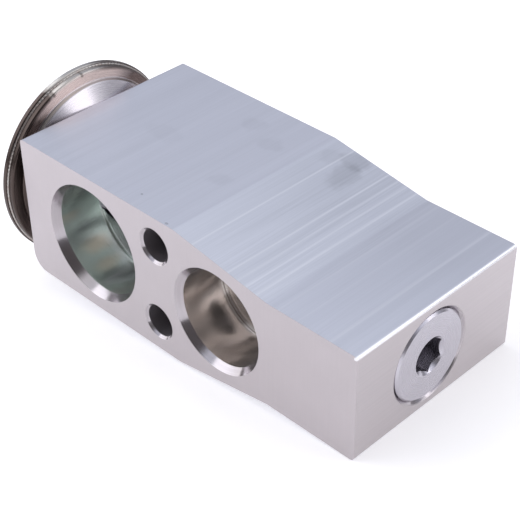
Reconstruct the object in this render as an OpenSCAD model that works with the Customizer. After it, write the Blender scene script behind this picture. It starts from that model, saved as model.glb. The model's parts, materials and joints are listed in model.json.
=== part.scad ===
// Block-type thermal expansion valve for an air conditioner's liquid and suction lines.
// The long axis is +X, from the power head to the adjusting plug. The port face is the plane
// Y = 0 and looks along -Y, the back face lies at body_depth, and +Z is up. The origin is the
// middle of the two mounting holes, on the port face. Positions whose names end in _x are
// measured along the long axis from the block's face under the power head.

/* [Block] */
// Depth of the block, from the port face to the back face
body_depth = 33.2; // [31.6:0.2:36]
// Thickness of the block at the power head
head_end_thickness = 23.7; // [22.5:0.1:26]
// Thickness of the block at the plug
plug_end_thickness = 17.85; // [17.25:0.05:19.5]
// Length of the thick part
thick_length = 34.2; // [31:0.2:36]
// Length over which the block tapers from thick to thin
taper_length = 17.8; // [14:0.2:20]
// Radius on three of the long corners of the extrusion
corner_radius = 0.6; // [0.2:0.1:1.2]
// Radius on the fourth, the lower corner at the power head
foot_radius = 2.8; // [0.6:0.1:3]
// Radius where the taper meets the flat parts
bend_radius = 3; // [1:0.5:8]

/* [Suction passage] */
// Distance from the head end face to the suction passage
suction_from_head = 15.56; // [15.2:0.02:16.4]
// Diameter of the two suction glands
suction_gland_d = 18.1; // [17:0.1:18.4]
// Depth of each suction gland
suction_gland_depth = 9.1; // [7:0.1:10]
// Width of the lead-in cone at the mouth of a suction gland
suction_lead_in = 0.7; // [0.4:0.1:1]
// Depth of the lead-in cone at the mouth of a suction gland
suction_lead_depth = 1.5; // [0.8:0.1:2]
// Width of the ledge at the bottom of a suction gland
suction_ledge = 0.5; // [0.3:0.1:0.9]

/* [Liquid ports] */
// Distance from the suction passage to the liquid outlet
port_pitch = 26.54; // [26.2:0.02:28]
// Diameter of the outlet gland, on the port face
outlet_gland_d = 15.2; // [13:0.1:15.6]
// Depth of the outlet gland
outlet_gland_depth = 8.7; // [7:0.1:9]
// Depth of the recess below the outlet gland
outlet_recess = 1.7; // [1:0.1:2]
// Diameter of the hole from the outlet recess to the valve axis
outlet_hole_d = 5.5; // [4:0.1:5.8]
// Diameter of the inlet gland, on the back face
inlet_gland_d = 12; // [10.5:0.1:12.6]
// Depth of the inlet gland
inlet_gland_depth = 8.2; // [7:0.1:9]
// Depth of the recess below the inlet gland
inlet_recess = 2; // [1:0.1:2.5]
// Diameter of the hole from the inlet recess to the spring chamber
inlet_hole_d = 5.2; // [4:0.1:5.3]
// Width of the lead-in cone at the mouth of a liquid gland
liquid_lead_in = 0.87; // [0.4:0.01:1]
// Depth of the lead-in cone at the mouth of a liquid gland
liquid_lead_depth = 1.05; // [0.6:0.05:1.4]
// Width of the ledge at the bottom of a liquid gland
liquid_ledge = 0.9; // [0.4:0.1:1.2]

/* [Mounting holes] */
// Distance from the suction passage to the mounting holes
bolts_from_suction = 14.34; // [13.9:0.02:14.6]
// Distance between the two mounting holes
bolt_pitch = 13.6; // [13.2:0.1:14.4]
// Diameter of the mounting holes
bolt_hole_d = 5.2; // [4.2:0.1:5.5]
// Width of the lead-in cone at each end of a mounting hole
bolt_lead_in = 0.4; // [0.2:0.1:0.6]

/* [Valve] */
// Distance from the port face to the valve axis
valve_axis_depth = 15.13; // [14.73:0.1:16.53]
// Lift of the ball from its seat
valve_lift = 0.8; // [0.4:0.1:1.1]
// Diameter of the closing ball
ball_d = 4.76; // [4.4:0.02:5.2]
// Diameter of the orifice
orifice_d = 3.2; // [2.8:0.1:3.3]
// Length of the orifice
orifice_length = 2.4; // [1.6:0.1:3]
// Width of the conical seat at the end of the orifice
seat_width = 0.5; // [0.3:0.05:0.7]
// Distance from the liquid outlet to the seat
seat_from_outlet = 8.1; // [7.5:0.1:9]
// Diameter of the outlet chamber round the push rod
outlet_chamber_d = 6; // [5.9:0.1:6.8]
// Diameter of the pocket round the ball
ball_pocket_d = 6.8; // [6.4:0.1:8]
// Depth of the pocket round the ball
ball_pocket_depth = 2; // [1.4:0.1:2.4]
// Diameter of the push rod
push_rod_d = 2.4; // [1.8:0.1:2.6]
// Diameter of the heat sensing rod
sensing_rod_d = 5.6; // [4.8:0.1:6]
// Length of the bore that guides the sensing rod
rod_guide_length = 6.6; // [5:0.1:7.6]
// Depth of the push rod's seat in the sensing rod
push_rod_seat_depth = 3.4; // [2:0.1:5]
// Section of the ring seal round the sensing rod
rod_seal_section = 1.7; // [1.3:0.1:1.9]
// Depth of the seal's pocket in the wall of the suction passage
rod_seal_pocket_depth = 3.4; // [3.1:0.1:3.8]
// Thickness of the washer that retains the seal
retainer_thickness = 0.4; // [0.3:0.05:0.6]
// Number of slots in the washer that retains the seal
retainer_slots = 6; // [4:1:8]

/* [Ball carrier and spring] */
// Diameter of the mouth of the carrier's cup
cup_mouth_d = 5; // [4:0.1:5.2]
// Outer diameter of the carrier's cup
cup_d = 6.2; // [6:0.1:6.4]
// Wall behind the tip of the carrier's cup
cup_bottom_wall = 0.5; // [0.3:0.1:1]
// Diameter of the carrier's flange
carrier_flange_d = 10.2; // [9.8:0.1:10.6]
// Thickness of the carrier's flange
carrier_flange_thickness = 1; // [0.6:0.1:1.4]
// Length of the hub that guides the spring
spring_hub_length = 2; // [1:0.1:3]
// Diameter of the spring chamber
spring_chamber_d = 11.6; // [11.2:0.1:12.6]
// Thickness of the damper's sheet
damper_thickness = 0.25; // [0.15:0.05:0.35]
// Length of the damper's legs
damper_leg_length = 1.3; // [0.8:0.1:2]
// Number of the damper's legs
damper_legs = 3; // [3:1:5]
// Diameter of the spring's wire
spring_wire_d = 0.9; // [0.7:0.05:1]
// Mean diameter of the spring
spring_mean_d = 8.4; // [8.2:0.05:8.6]
// Number of the spring's turns
spring_turns = 4.5; // [3.5:0.25:5]

/* [Adjusting plug] */
// Length of the plug
plug_length = 9; // [8.6:0.1:12]
// Diameter of the plug's thread
plug_thread_d = 14; // [13.9:0.05:14.4]
// Length of the plug's thread
plug_thread_length = 3.3; // [2.6:0.1:3.6]
// Diameter of the smooth bore that the plug's ring seals in
plug_seal_bore_d = 13.8; // [13.2:0.05:13.9]
// Section of the plug's ring seal
plug_seal_section = 1.3; // [1:0.05:1.5]
// Travel of the plug each way from where it is set, one turn of its thread
plug_travel = 1; // [0.5:0.1:1.2]
// Size across the flats of the hex socket
hex_across_flats = 5; // [4:0.5:6]
// Depth of the hex socket
hex_depth = 3.4; // [2.4:0.1:3.8]
// Width of the lead-in cone round the hex socket
hex_lead_in = 0.15; // [0.05:0.05:0.4]
// Width of the cone at the edge of the plug's face
plug_edge = 0.3; // [0.1:0.05:0.5]
// Width of the cone at the mouth of the plug's bore
plug_mouth = 0.54; // [0.2:0.02:0.7]
// Wall between the hex socket and the spring's cup
plug_web = 0.9; // [0.6:0.1:1.6]
// Diameter of the cup that holds the spring's end
spring_cup_d = 9.9; // [9.8:0.05:10.2]

/* [Power head] */
// Diameter of the rim of the head's cover
head_d = 33.2; // [32:0.2:36]
// Step from the cover's rim in to the base's rim
rim_step = 0.42; // [0.2:0.02:0.8]
// Thickness of the head's pressed covers
head_wall = 0.9; // [0.8:0.05:1.1]
// Diameter of the flat seat that the head rests on
head_seat_d = 22.4; // [21:0.1:23]
// Diameter of the turned cone that faces the block
head_boss_d = 28.34; // [27:0.02:29]
// Rise of the turned cone
head_cone_rise = 1.5; // [1.2:0.1:2]
// Step from the turned cone back to the base's flange
flange_step = 0.98; // [0.7:0.02:1.4]
// Diameter of the neck's thread
neck_d = 17; // [16:0.1:17.4]
// Length of the neck
neck_length = 5.2; // [4.4:0.1:5.6]
// Diameter of the bore through the neck
neck_bore_d = 12.8; // [12.4:0.1:13.2]
// Section of the ring seal round the neck
head_seal_section = 1.3; // [1:0.05:1.5]
// Width of the flat rim that clamps the diaphragm
rim_land = 1.9; // [1.2:0.1:2.2]
// Thickness of the diaphragm
diaphragm_thickness = 0.15; // [0.1:0.05:0.2]
// Height of the diaphragm's corrugations
corrugation_height = 0.22; // [0.1:0.02:0.3]
// Number of the diaphragm's corrugations
corrugations = 3; // [2:1:4]
// Diameter of the disc that stops the diaphragm
stop_disc_d = 19.2; // [17:0.1:20]
// Thickness of the disc that stops the diaphragm
stop_disc_thickness = 1.1; // [0.8:0.1:1.2]
// Diameter of the stop's hub in the neck
stop_hub_d = 11.8; // [10:0.1:12]
// Length of the stop's hub below its disc
stop_hub_length = 6.3; // [5.5:0.1:6.8]
// Depth of the sensing rod's seat in the stop's hub
stop_seat_depth = 3.4; // [2:0.1:5]
// Height of the cover's crown above its rim
crown_height = 3.55; // [3:0.05:4.4]
// Diameter of the foot of the cover's crown
crown_foot_d = 29.2; // [28:0.1:29.6]
// Diameter of the shoulder of the cover's crown
crown_shoulder_d = 25.2; // [23:0.1:26]
// Diameter of the flat top of the cover's crown
crown_top_d = 15; // [10:0.5:18]
// Diameter of the fill hole
fill_hole_d = 2.4; // [1.6:0.1:3]
// Width of the cone at the mouth of the fill hole
fill_cone = 1; // [0.6:0.1:1.2]
// Height of the charge plug above the crown
charge_plug_height = 0.9; // [0.4:0.1:1.6]

/* [Clearances] */
// Gap left between faces that rest on each other
touch = 0.02; // [0.01:0.01:0.04]
// Radial clearance of the rods in their bores
rod_clearance = 0.05; // [0.02:0.01:0.08]
// Radial clearance of the screwed pieces in their threads
thread_clearance = 0.05; // [0.02:0.01:0.08]
// Gap left at the end of each travel
end_gap = 0.2; // [0.1:0.05:0.4]

/* [Hidden] */
$fn = 96;
over_cut = 1;
arc_steps = 8;

// The chain along the long axis
suction_x = suction_from_head;
passage_d = suction_gland_d - 2 * suction_ledge;
bolt_x = suction_x + bolts_from_suction;
outlet_x = suction_x + port_pitch;
pocket_end_x = suction_x + passage_d / 2 + rod_seal_pocket_depth;
guide_end_x = pocket_end_x + rod_guide_length;
sensing_rod_end_x = guide_end_x - valve_lift - end_gap;
seat_x = outlet_x + seat_from_outlet;
cone_reach = ball_d / sqrt(2);
ball_x = seat_x - seat_width + cone_reach - orifice_d / 2 + touch;
cup_tip_x = ball_x + cone_reach + touch * sqrt(2);
flange_back_x = cup_tip_x + cup_bottom_wall;
spring_start_x = flange_back_x + damper_thickness + 2 * touch;
leg_tip_x = spring_start_x + damper_leg_length;
spring_chamber_x = seat_x + ball_pocket_depth;
spring_chamber_end_x = leg_tip_x + valve_lift;
plug_inner_x = spring_chamber_end_x + end_gap + plug_travel;
body_length = plug_inner_x + plug_length;
inlet_x = (spring_chamber_x + spring_chamber_end_x) / 2;

// The plug and the spring
plug_thread_x = body_length - plug_thread_length;
seal_bore_end_x = plug_thread_x - plug_travel - end_gap;
plug_thread_bore_d = plug_thread_d + 2 * thread_clearance;
plug_seal_d = plug_seal_bore_d - 2 * thread_clearance;
plug_groove_d = plug_seal_bore_d - 2 * plug_seal_section - 4 * touch;
plug_groove_width = plug_seal_section + end_gap;
plug_groove_x = seal_bore_end_x - plug_travel - end_gap - plug_groove_width / 2;
hex_corner_d = hex_across_flats / cos(30);
hex_cone_width = (hex_corner_d - hex_across_flats) / 2 + hex_lead_in;
socket_end_x = body_length - hex_depth - hex_across_flats / 8;
spring_end_x = socket_end_x - plug_web;
spring_hub_d = spring_mean_d - spring_wire_d - 4 * end_gap;

// The power head, whose pieces lie at negative places along the axis
flange_x = -head_cone_rise - flange_step;
rim_x = flange_x - head_wall;
shelf_x = -head_wall;
stop_disc_x = shelf_x - valve_lift - touch;
stop_top_x = stop_disc_x - stop_disc_thickness;
stop_hub_end_x = stop_disc_x + stop_hub_length;
stop_seat_x = stop_hub_end_x - stop_seat_depth;
cover_x = rim_x - diaphragm_thickness - 2 * touch;
rim_top_x = cover_x - head_wall;
crown_x = rim_top_x - crown_height;
base_r = head_d / 2 - rim_step;
land_r = base_r - rim_land;
neck_bore_depth = neck_length + end_gap;
rod_bore_d = sensing_rod_d + 2 * rod_clearance;
seal_pocket_d = sensing_rod_d + 2 * rod_seal_section + 4 * touch;
head_groove_d = neck_d + 2 * head_seal_section + 4 * touch;
head_groove_depth = head_seal_section + 2 * touch;

// The points of a corner rounded to radius r, or the corner itself where r is 0
function corner_arc(before, corner, after, r) =
  let (
    u = (before - corner) / norm(before - corner),
    v = (after - corner) / norm(after - corner),
    half = acos(u * v) / 2,
    centre = corner + (u + v) / norm(u + v) * r / sin(half),
    first = corner + u * r / tan(half) - centre,
    last = corner + v * r / tan(half) - centre,
    start = atan2(first.y, first.x),
    turn = atan2(last.y, last.x) - start,
    sweep = turn > 180 ? turn - 360 : (turn < -180 ? turn + 360 : turn)
  )
  r == 0 ? [corner] : [
    for (i = [0:arc_steps])
      centre + r * [cos(start + sweep * i / arc_steps), sin(start + sweep * i / arc_steps)]
  ];

// An outline from corners given as [x, y, radius]
function rounded(corners) = [
  for (
    i = [0:len(corners) - 1],
    p = corner_arc(
      [corners[(i + len(corners) - 1) % len(corners)].x, corners[(i + len(corners) - 1) % len(corners)].y],
      [corners[i].x, corners[i].y],
      [corners[(i + 1) % len(corners)].x, corners[(i + 1) % len(corners)].y],
      corners[i][2]
    )
  ) p
];

// Puts a shape drawn up the Z axis on the valve axis, x from the head end face
module on_valve_axis(x = 0) {
  translate([x - bolt_x, valve_axis_depth, 0])
    rotate([0, 90, 0])
      children();
}

// A turned piece on the valve axis, from an outline of [radius, place] points
module turned(outline) {
  on_valve_axis()
    rotate_extrude()
      polygon(outline);
}

// A straight hole or bar on the valve axis
module axis_bar(d, from_x, to_x) {
  on_valve_axis(from_x)
    cylinder(d = d, h = to_x - from_x);
}

// A cone on the valve axis
module axis_cone(from_d, to_d, from_x, to_x) {
  on_valve_axis(from_x)
    cylinder(d1 = from_d, d2 = to_d, h = to_x - from_x);
}

// A round ring seal on the valve axis, centred at x
module ring_seal(inner_d, section, x) {
  on_valve_axis(x)
    rotate_extrude()
      translate([inner_d / 2 + section / 2, 0])
        circle(d = section);
}

// Places a port cutter at a distance along the block, sinking from the port face
module from_port_face(x) {
  translate([x - bolt_x, 0, 0])
    rotate([-90, 0, 0])
      children();
}

// The same, sinking from the back face
module from_back_face(x) {
  translate([x - bolt_x, body_depth, 0])
    rotate([90, 0, 0])
      children();
}

// A lead-in cone that opens a hole of diameter d at a face
module lead_in_cone(d, width, depth) {
  slope = width / depth;
  translate([0, 0, -over_cut])
    cylinder(d1 = d + 2 * width + 2 * over_cut * slope, d2 = d, h = depth + over_cut);
}

// A tube gland: lead-in, gland bore, ledge and the recess or passage below it
module gland(d, depth, lead_in, lead_depth, ledge, recess) {
  lead_in_cone(d, lead_in, lead_depth);
  cylinder(d = d, h = depth);
  cylinder(d = d - 2 * ledge, h = depth + recess);
}

// The side outline of the block, in the plane of its length and thickness
function block_outline() =
  let (
    thick = head_end_thickness / 2,
    thin = plug_end_thickness / 2,
    taper_end = thick_length + taper_length
  )
  rounded([
    [-bolt_x, -thick, foot_radius],
    [thick_length - bolt_x, -thick, bend_radius],
    [taper_end - bolt_x, -thin, bend_radius],
    [body_length - bolt_x, -thin, corner_radius],
    [body_length - bolt_x, thin, corner_radius],
    [taper_end - bolt_x, thin, bend_radius],
    [thick_length - bolt_x, thick, bend_radius],
    [-bolt_x, thick, corner_radius]
  ]);

// Suction passage: a gland from each face, joined by the passage
module suction_passage() {
  below = body_depth / 2 - suction_gland_depth + touch;
  from_port_face(suction_x)
    gland(suction_gland_d, suction_gland_depth, suction_lead_in, suction_lead_depth, suction_ledge, below);
  from_back_face(suction_x)
    gland(suction_gland_d, suction_gland_depth, suction_lead_in, suction_lead_depth, suction_ledge, below);
}

// Liquid outlet on the port face, with its hole to the valve axis
module outlet_port() {
  from_port_face(outlet_x) {
    gland(outlet_gland_d, outlet_gland_depth, liquid_lead_in, liquid_lead_depth, liquid_ledge, outlet_recess);
    cylinder(d = outlet_hole_d, h = valve_axis_depth);
  }
}

// Liquid inlet on the back face, with its hole to the spring chamber
module inlet_port() {
  from_back_face(inlet_x) {
    gland(inlet_gland_d, inlet_gland_depth, liquid_lead_in, liquid_lead_depth, liquid_ledge, inlet_recess);
    cylinder(d = inlet_hole_d, h = body_depth - valve_axis_depth - spring_chamber_d / 2 + 1);
  }
}

// The two mounting holes, right through the block
module mounting_holes() {
  for (side = [-1, 1])
    translate([0, 0, side * bolt_pitch / 2]) {
      from_port_face(bolt_x) {
        lead_in_cone(bolt_hole_d, bolt_lead_in, bolt_lead_in);
        cylinder(d = bolt_hole_d, h = body_depth + over_cut);
      }
      from_back_face(bolt_x)
        lead_in_cone(bolt_hole_d, bolt_lead_in, bolt_lead_in);
    }
}

// Bores under the power head: ring groove, thread and the way for the vapour
module head_bores() {
  axis_bar(head_groove_d, -over_cut, head_groove_depth);
  axis_bar(neck_d + 2 * thread_clearance, -over_cut, neck_bore_depth);
  axis_bar(neck_bore_d, 0, suction_x);
}

// Bores for the rods, the orifice and the conical seat
module rod_bores() {
  axis_bar(seal_pocket_d, suction_x, pocket_end_x);
  axis_bar(rod_bore_d, suction_x, guide_end_x);
  axis_bar(push_rod_d + 2 * rod_clearance, guide_end_x - over_cut, outlet_x);
  axis_bar(outlet_chamber_d, outlet_x - outlet_chamber_d / 2, seat_x - orifice_length);
  axis_bar(orifice_d, outlet_x, seat_x);
  axis_cone(orifice_d, orifice_d + 2 * seat_width, seat_x - seat_width, seat_x);
}

// Bores for the ball, the spring and the plug
module plug_bores() {
  axis_bar(ball_pocket_d, seat_x, spring_chamber_x + over_cut);
  axis_bar(spring_chamber_d, spring_chamber_x, spring_chamber_end_x + over_cut);
  axis_bar(plug_seal_bore_d, spring_chamber_end_x, seal_bore_end_x + over_cut);
  axis_bar(plug_thread_bore_d, seal_bore_end_x, body_length + over_cut);
  on_valve_axis(body_length)
    mirror([0, 0, 1])
      lead_in_cone(plug_thread_bore_d, plug_mouth, plug_mouth);
}

module valve_body() {
  color([0.78, 0.79, 0.82])
    difference() {
      translate([0, body_depth, 0])
        rotate([90, 0, 0])
          linear_extrude(body_depth)
            polygon(block_outline());
      suction_passage();
      outlet_port();
      inlet_port();
      mounting_holes();
      head_bores();
      rod_bores();
      plug_bores();
    }
}

// Lower half of the power head: neck, seat, turned cone, flange and rim
module head_base() {
  boss_r = head_boss_d / 2;
  color([0.74, 0.71, 0.69])
    turned(rounded([
      [neck_bore_d / 2, neck_length, 0],
      [neck_d / 2 - 0.5, neck_length, 0],
      [neck_d / 2, neck_length - 0.5, 0],
      [neck_d / 2, -touch, 0],
      [head_seat_d / 2, -touch, 0.4],
      [boss_r, -head_cone_rise, 0.15],
      [boss_r + 0.2, flange_x + 0.4, 0.2],
      [base_r, flange_x, 0.3],
      [base_r, rim_x, 0],
      [land_r, rim_x, 0.3],
      [boss_r - head_wall, flange_x + 0.1, 0.4],
      [head_seat_d / 2 - head_wall / 2, shelf_x, 0.6],
      [neck_bore_d / 2, shelf_x, 0.4]
    ]));
}

// Upper half of the power head: rim, crown and the fill hole
module head_cover() {
  cover_r = head_d / 2;
  hole_r = fill_hole_d / 2;
  color([0.76, 0.74, 0.72])
    turned(rounded([
      [cover_r, cover_x, 0.15],
      [cover_r, rim_top_x, 0.3],
      [crown_foot_d / 2, rim_top_x, 0.8],
      [crown_shoulder_d / 2, crown_x + crown_height / 3, 2],
      [crown_top_d / 2, crown_x, 4],
      [hole_r + fill_cone, crown_x, 0],
      [hole_r, crown_x + fill_cone, 0],
      [hole_r, crown_x + head_wall, 0],
      [crown_top_d / 2, crown_x + head_wall, 2],
      [crown_shoulder_d / 2 - head_wall / 2, crown_x + crown_height / 3 + head_wall, 1],
      [land_r, cover_x, 0.3]
    ]));
}

// Places of the diaphragm's lower face: flat in the middle, waved, then flat at the rim
function diaphragm_place(r) =
  let (
    inner = stop_disc_d / 2 + end_gap,
    t = max(0, min(1, (r - inner) / (land_r - inner))),
    low = stop_top_x - touch,
    high = rim_x - touch
  )
  low + (high - low) * t * t * (3 - 2 * t) - corrugation_height * pow(sin(180 * corrugations * t), 2);

module diaphragm() {
  radii = concat([0], [
    for (i = [0:30]) stop_disc_d / 2 + end_gap + (land_r - stop_disc_d / 2 - end_gap) * i / 30
  ], [base_r - end_gap]);
  lower = [for (r = radii) [r, diaphragm_place(r)]];
  upper = [for (i = [len(radii) - 1:-1:0]) [radii[i], diaphragm_place(radii[i]) - diaphragm_thickness]];
  color([0.8, 0.8, 0.8])
    turned(concat(lower, upper));
}

// Small cone welded into the fill hole
module charge_plug() {
  tip_r = fill_hole_d / 2 - touch;
  color([0.7, 0.7, 0.72])
    turned([
      [0, crown_x + head_wall],
      [tip_r, crown_x + head_wall],
      [tip_r, crown_x + fill_cone - touch],
      [tip_r + fill_cone, crown_x - touch],
      [tip_r + fill_cone, crown_x - charge_plug_height / 2],
      [tip_r + fill_cone / 2, crown_x - charge_plug_height],
      [0, crown_x - charge_plug_height]
    ]);
}

module head_seal_ring() {
  color([0.12, 0.12, 0.12])
    ring_seal(neck_d + 2 * touch, head_seal_section, head_groove_depth / 2);
}

// Disc under the diaphragm, with the hub that takes the sensing rod
module diaphragm_stop() {
  seat_r = sensing_rod_d / 2 + touch;
  color([0.8, 0.8, 0.83])
    turned(rounded([
      [0, stop_top_x, 0],
      [stop_disc_d / 2, stop_top_x, 0.3],
      [stop_disc_d / 2, stop_disc_x, 0.2],
      [stop_hub_d / 2, stop_disc_x, 0],
      [stop_hub_d / 2, stop_hub_end_x, 0.3],
      [seat_r, stop_hub_end_x, 0],
      [seat_r, stop_seat_x, 0],
      [0, stop_seat_x, 0]
    ]));
}

// Thick rod across the suction passage, drilled at its end for the push rod
module sensing_rod() {
  seat_r = push_rod_d / 2 + touch;
  seat_end_x = sensing_rod_end_x - push_rod_seat_depth;
  color([0.8, 0.8, 0.83])
    turned(rounded([
      [0, stop_seat_x + touch, 0],
      [sensing_rod_d / 2, stop_seat_x + touch, 0.2],
      [sensing_rod_d / 2, sensing_rod_end_x, 0.2],
      [seat_r, sensing_rod_end_x, 0],
      [seat_r, seat_end_x, 0],
      [0, seat_end_x, 0]
    ]));
}

module push_rod() {
  color([0.7, 0.71, 0.74])
    axis_bar(push_rod_d, sensing_rod_end_x - push_rod_seat_depth + touch, ball_x - ball_d / 2 - touch);
}

module rod_seal_ring() {
  color([0.12, 0.12, 0.12])
    ring_seal(sensing_rod_d + 2 * touch, rod_seal_section, pocket_end_x - rod_seal_section / 2 - touch);
}

// Push-on washer: a flat rim and a slotted, dished middle
module rod_seal_retainer() {
  outer_r = seal_pocket_d / 2 - touch;
  inner_r = sensing_rod_d / 2 + 2 * end_gap;
  middle_r = (outer_r + inner_r) / 2;
  face_x = pocket_end_x - rod_seal_section - 3 * touch;
  color([0.6, 0.58, 0.5])
    difference() {
      turned([
        [outer_r, face_x],
        [outer_r, face_x - retainer_thickness],
        [middle_r, face_x - retainer_thickness],
        [inner_r, face_x - 2 * retainer_thickness],
        [inner_r, face_x - retainer_thickness],
        [middle_r, face_x]
      ]);
      for (i = [0:retainer_slots - 1])
        on_valve_axis(face_x - 3 * retainer_thickness)
          rotate([0, 0, 360 / retainer_slots * i])
            translate([0, -retainer_thickness / 2, 0])
              cube([middle_r, retainer_thickness, 4 * retainer_thickness]);
    }
}

module valve_ball() {
  color([0.85, 0.85, 0.87])
    on_valve_axis(ball_x)
      sphere(d = ball_d);
}

// Cup for the ball, flange for the spring and the hub inside the spring
module ball_carrier() {
  cup_rim_x = cup_tip_x - cup_mouth_d / 2;
  hub_end_x = flange_back_x + spring_hub_length;
  color([0.78, 0.68, 0.4])
    turned(rounded([
      [0, cup_tip_x, 0],
      [cup_mouth_d / 2, cup_rim_x, 0],
      [cup_d / 2, cup_rim_x, 0.15],
      [cup_d / 2, flange_back_x - carrier_flange_thickness, 0],
      [carrier_flange_d / 2, flange_back_x - carrier_flange_thickness, 0.2],
      [carrier_flange_d / 2, flange_back_x, 0],
      [spring_hub_d / 2, flange_back_x, 0],
      [spring_hub_d / 2, hub_end_x, 0.3],
      [0, hub_end_x, 0]
    ]));
}

// Flat ring behind the flange, with legs that turn back along the chamber's wall
module carrier_damper() {
  leg_r = spring_chamber_d / 2 - rod_clearance;
  leg_angle = 45;
  ring_r = spring_hub_d / 2 + touch;
  color([0.66, 0.67, 0.7])
    on_valve_axis(flange_back_x + touch) {
      difference() {
        cylinder(r = carrier_flange_d / 2, h = damper_thickness);
        translate([0, 0, -over_cut])
          cylinder(r = ring_r, h = damper_thickness + 2 * over_cut);
      }
      for (i = [0:damper_legs - 1])
        rotate([0, 0, 360 / damper_legs * i])
          rotate_extrude(angle = leg_angle)
            polygon([
              [carrier_flange_d / 2 - damper_thickness, 0],
              [leg_r, 0],
              [leg_r, damper_leg_length + damper_thickness],
              [leg_r - damper_thickness, damper_leg_length + damper_thickness],
              [leg_r - damper_thickness, damper_thickness],
              [carrier_flange_d / 2 - damper_thickness, damper_thickness]
            ]);
    }
}

// Height of the spring's wire after n turns: its end turns lie close, the rest are even
function spring_height(n, total) =
  let (closed = 0.75, close_rise = spring_wire_d * closed)
  n < closed ? spring_wire_d * n
  : n > spring_turns - closed ? total - spring_wire_d * (spring_turns - n)
  : close_rise + (total - 2 * close_rise) * (n - closed) / (spring_turns - 2 * closed);

// Coil spring: a round wire swept along its helix
module valve_spring() {
  sides = 10;
  per_turn = 24;
  last = round(spring_turns * per_turn);
  total = spring_end_x - spring_start_x - spring_wire_d - 2 * touch;
  points = [
    for (i = [0:last], k = [0:sides - 1])
      let (a = 360 * i / per_turn, s = 360 * k / sides, r = spring_mean_d / 2 + spring_wire_d / 2 * cos(s))
      [r * cos(a), r * sin(a), spring_height(i / per_turn, total) + spring_wire_d / 2 * sin(s)]
  ];
  walls = [
    for (i = [0:last - 1], k = [0:sides - 1])
      [i * sides + k, (i + 1) * sides + k, (i + 1) * sides + (k + 1) % sides, i * sides + (k + 1) % sides]
  ];
  ends = [
    [for (k = [0:sides - 1]) k],
    [for (k = [sides - 1:-1:0]) last * sides + k]
  ];
  color([0.55, 0.56, 0.6])
    on_valve_axis(spring_start_x + spring_wire_d / 2 + touch)
      polyhedron(points = points, faces = concat(walls, ends));
}

// Screw plug: face with the hex socket, thread, ring groove and the spring's cup
module adjusting_plug() {
  groove_start_x = plug_groove_x - plug_groove_width / 2;
  groove_end_x = plug_groove_x + plug_groove_width / 2;
  color([0.8, 0.79, 0.82])
    difference() {
      turned([
        [0, body_length],
        [plug_thread_d / 2 - plug_edge, body_length],
        [plug_thread_d / 2, body_length - plug_edge],
        [plug_thread_d / 2, plug_thread_x],
        [plug_seal_d / 2, plug_thread_x],
        [plug_seal_d / 2, groove_end_x],
        [plug_groove_d / 2, groove_end_x],
        [plug_groove_d / 2, groove_start_x],
        [plug_seal_d / 2, groove_start_x],
        [plug_seal_d / 2, plug_inner_x],
        [0, plug_inner_x]
      ]);
      axis_bar(spring_cup_d, plug_inner_x - over_cut, spring_end_x);
      on_valve_axis(body_length - hex_depth)
        cylinder(d = hex_corner_d, h = hex_depth + over_cut, $fn = 6);
      axis_cone(hex_across_flats / 2, hex_across_flats, socket_end_x, body_length - hex_depth);
      on_valve_axis(body_length)
        mirror([0, 0, 1])
          lead_in_cone(hex_across_flats, hex_cone_width, hex_cone_width);
    }
}

module plug_seal_ring() {
  color([0.12, 0.12, 0.12])
    ring_seal(plug_groove_d + 2 * touch, plug_seal_section, plug_groove_x);
}

valve_body();
head_base();
head_cover();
diaphragm();
charge_plug();
head_seal_ring();
diaphragm_stop();
sensing_rod();
push_rod();
rod_seal_ring();
rod_seal_retainer();
valve_ball();
ball_carrier();
carrier_damper();
valve_spring();
adjusting_plug();
plug_seal_ring();
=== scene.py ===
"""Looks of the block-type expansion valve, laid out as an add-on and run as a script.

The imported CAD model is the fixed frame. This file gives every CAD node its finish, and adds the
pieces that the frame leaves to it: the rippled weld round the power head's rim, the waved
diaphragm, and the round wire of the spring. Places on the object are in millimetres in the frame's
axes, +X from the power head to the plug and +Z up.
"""

import json
import math
from types import SimpleNamespace

import bpy
import numpy as np
from bpy.props import FloatProperty, FloatVectorProperty, IntProperty, PointerProperty
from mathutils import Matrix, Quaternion, Vector


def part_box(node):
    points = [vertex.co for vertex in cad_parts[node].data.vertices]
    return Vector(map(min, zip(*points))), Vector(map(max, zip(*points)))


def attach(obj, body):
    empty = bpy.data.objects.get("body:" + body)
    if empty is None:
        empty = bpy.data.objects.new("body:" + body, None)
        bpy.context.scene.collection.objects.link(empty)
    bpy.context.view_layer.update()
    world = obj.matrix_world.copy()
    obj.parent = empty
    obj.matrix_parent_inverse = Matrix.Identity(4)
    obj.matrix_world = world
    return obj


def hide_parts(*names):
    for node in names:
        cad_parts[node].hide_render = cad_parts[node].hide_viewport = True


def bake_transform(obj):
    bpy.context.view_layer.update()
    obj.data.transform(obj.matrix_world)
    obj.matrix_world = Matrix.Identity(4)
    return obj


bl_info = {
    "name": "Expansion valve looks",
    "version": (1, 0, 0),
    "blender": (4, 5, 0),
    "location": "View3D > Sidebar > Expansion valve",
    "description": "Finishes, weld, diaphragm, spring and studio for the packed expansion valve",
    "category": "Object",
}

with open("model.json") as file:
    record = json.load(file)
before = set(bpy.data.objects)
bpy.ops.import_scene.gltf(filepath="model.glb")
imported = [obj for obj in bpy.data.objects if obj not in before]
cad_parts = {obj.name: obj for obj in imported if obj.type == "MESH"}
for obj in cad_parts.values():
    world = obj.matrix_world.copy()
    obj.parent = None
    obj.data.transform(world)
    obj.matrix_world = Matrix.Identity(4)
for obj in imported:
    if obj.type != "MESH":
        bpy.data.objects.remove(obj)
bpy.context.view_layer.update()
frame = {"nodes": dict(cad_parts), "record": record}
NODES = frame["nodes"]
MOUNTS = {m["name"]: m for m in frame["record"]["mounts"]}
MM = 0.001


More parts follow.
